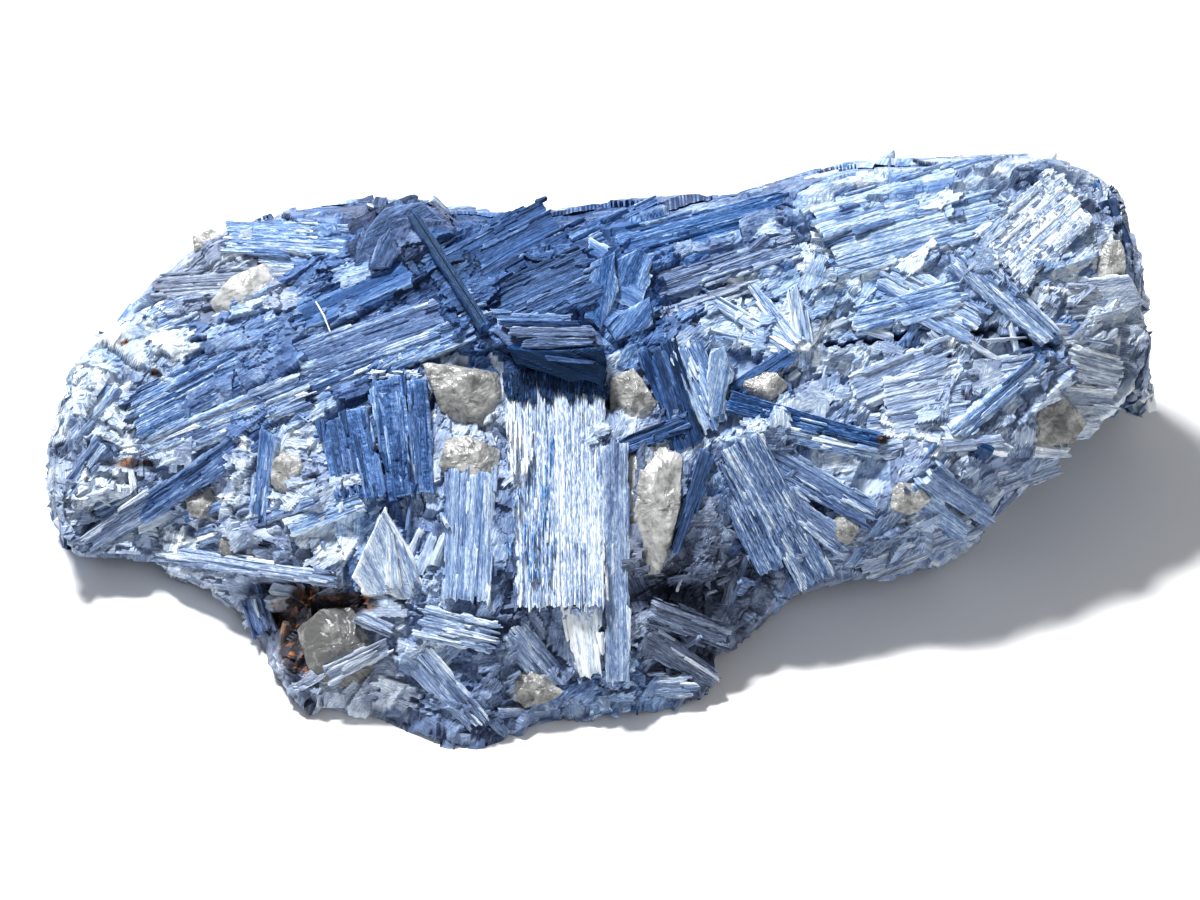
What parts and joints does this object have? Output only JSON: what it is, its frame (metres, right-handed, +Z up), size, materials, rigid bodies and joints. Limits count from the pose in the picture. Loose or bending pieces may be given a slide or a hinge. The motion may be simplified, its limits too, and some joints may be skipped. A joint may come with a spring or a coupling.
{
  "type": "kyanite blade cluster",
  "caption": "Mineral specimen: a long mound of intergrown blue kyanite blades with grains of milky quartz between them, resting on a flat underside.",
  "frame": {"origin": "on the flat resting face under the specimen, below the middle of its length", "axes": "+X to the right of the show side along the specimen's length, +Y to the back, +Z up from the resting face"},
  "size_m": [0.2277, 0.1382, 0.0761],
  "materials": {
    "kyanite": "pearly to glassy on flat blade faces, splintery across them; streaked from steel blue and deep blue to silvery white, with a little rust-brown staining",
    "quartz": "milky grey-white, glassy on fresh uneven breaks, slightly translucent"
  },
  "bodies": {
    "root": {"kyanite_mass": "kyanite", "quartz_arm_inner": "quartz", "quartz_arm_low": "quartz", "quartz_arm_outer": "quartz", "quartz_centre_high": "quartz", "quartz_centre_low": "quartz", "quartz_corner": "quartz", "quartz_fan": "quartz", "quartz_foot": "quartz", "quartz_keel": "quartz", "quartz_lower_left": "quartz", "quartz_right_end": "quartz", "quartz_right_low": "quartz", "quartz_round": "quartz", "quartz_shelf": "quartz", "quartz_tall": "quartz", "quartz_top_left": "quartz"}
  },
  "joints": []
}
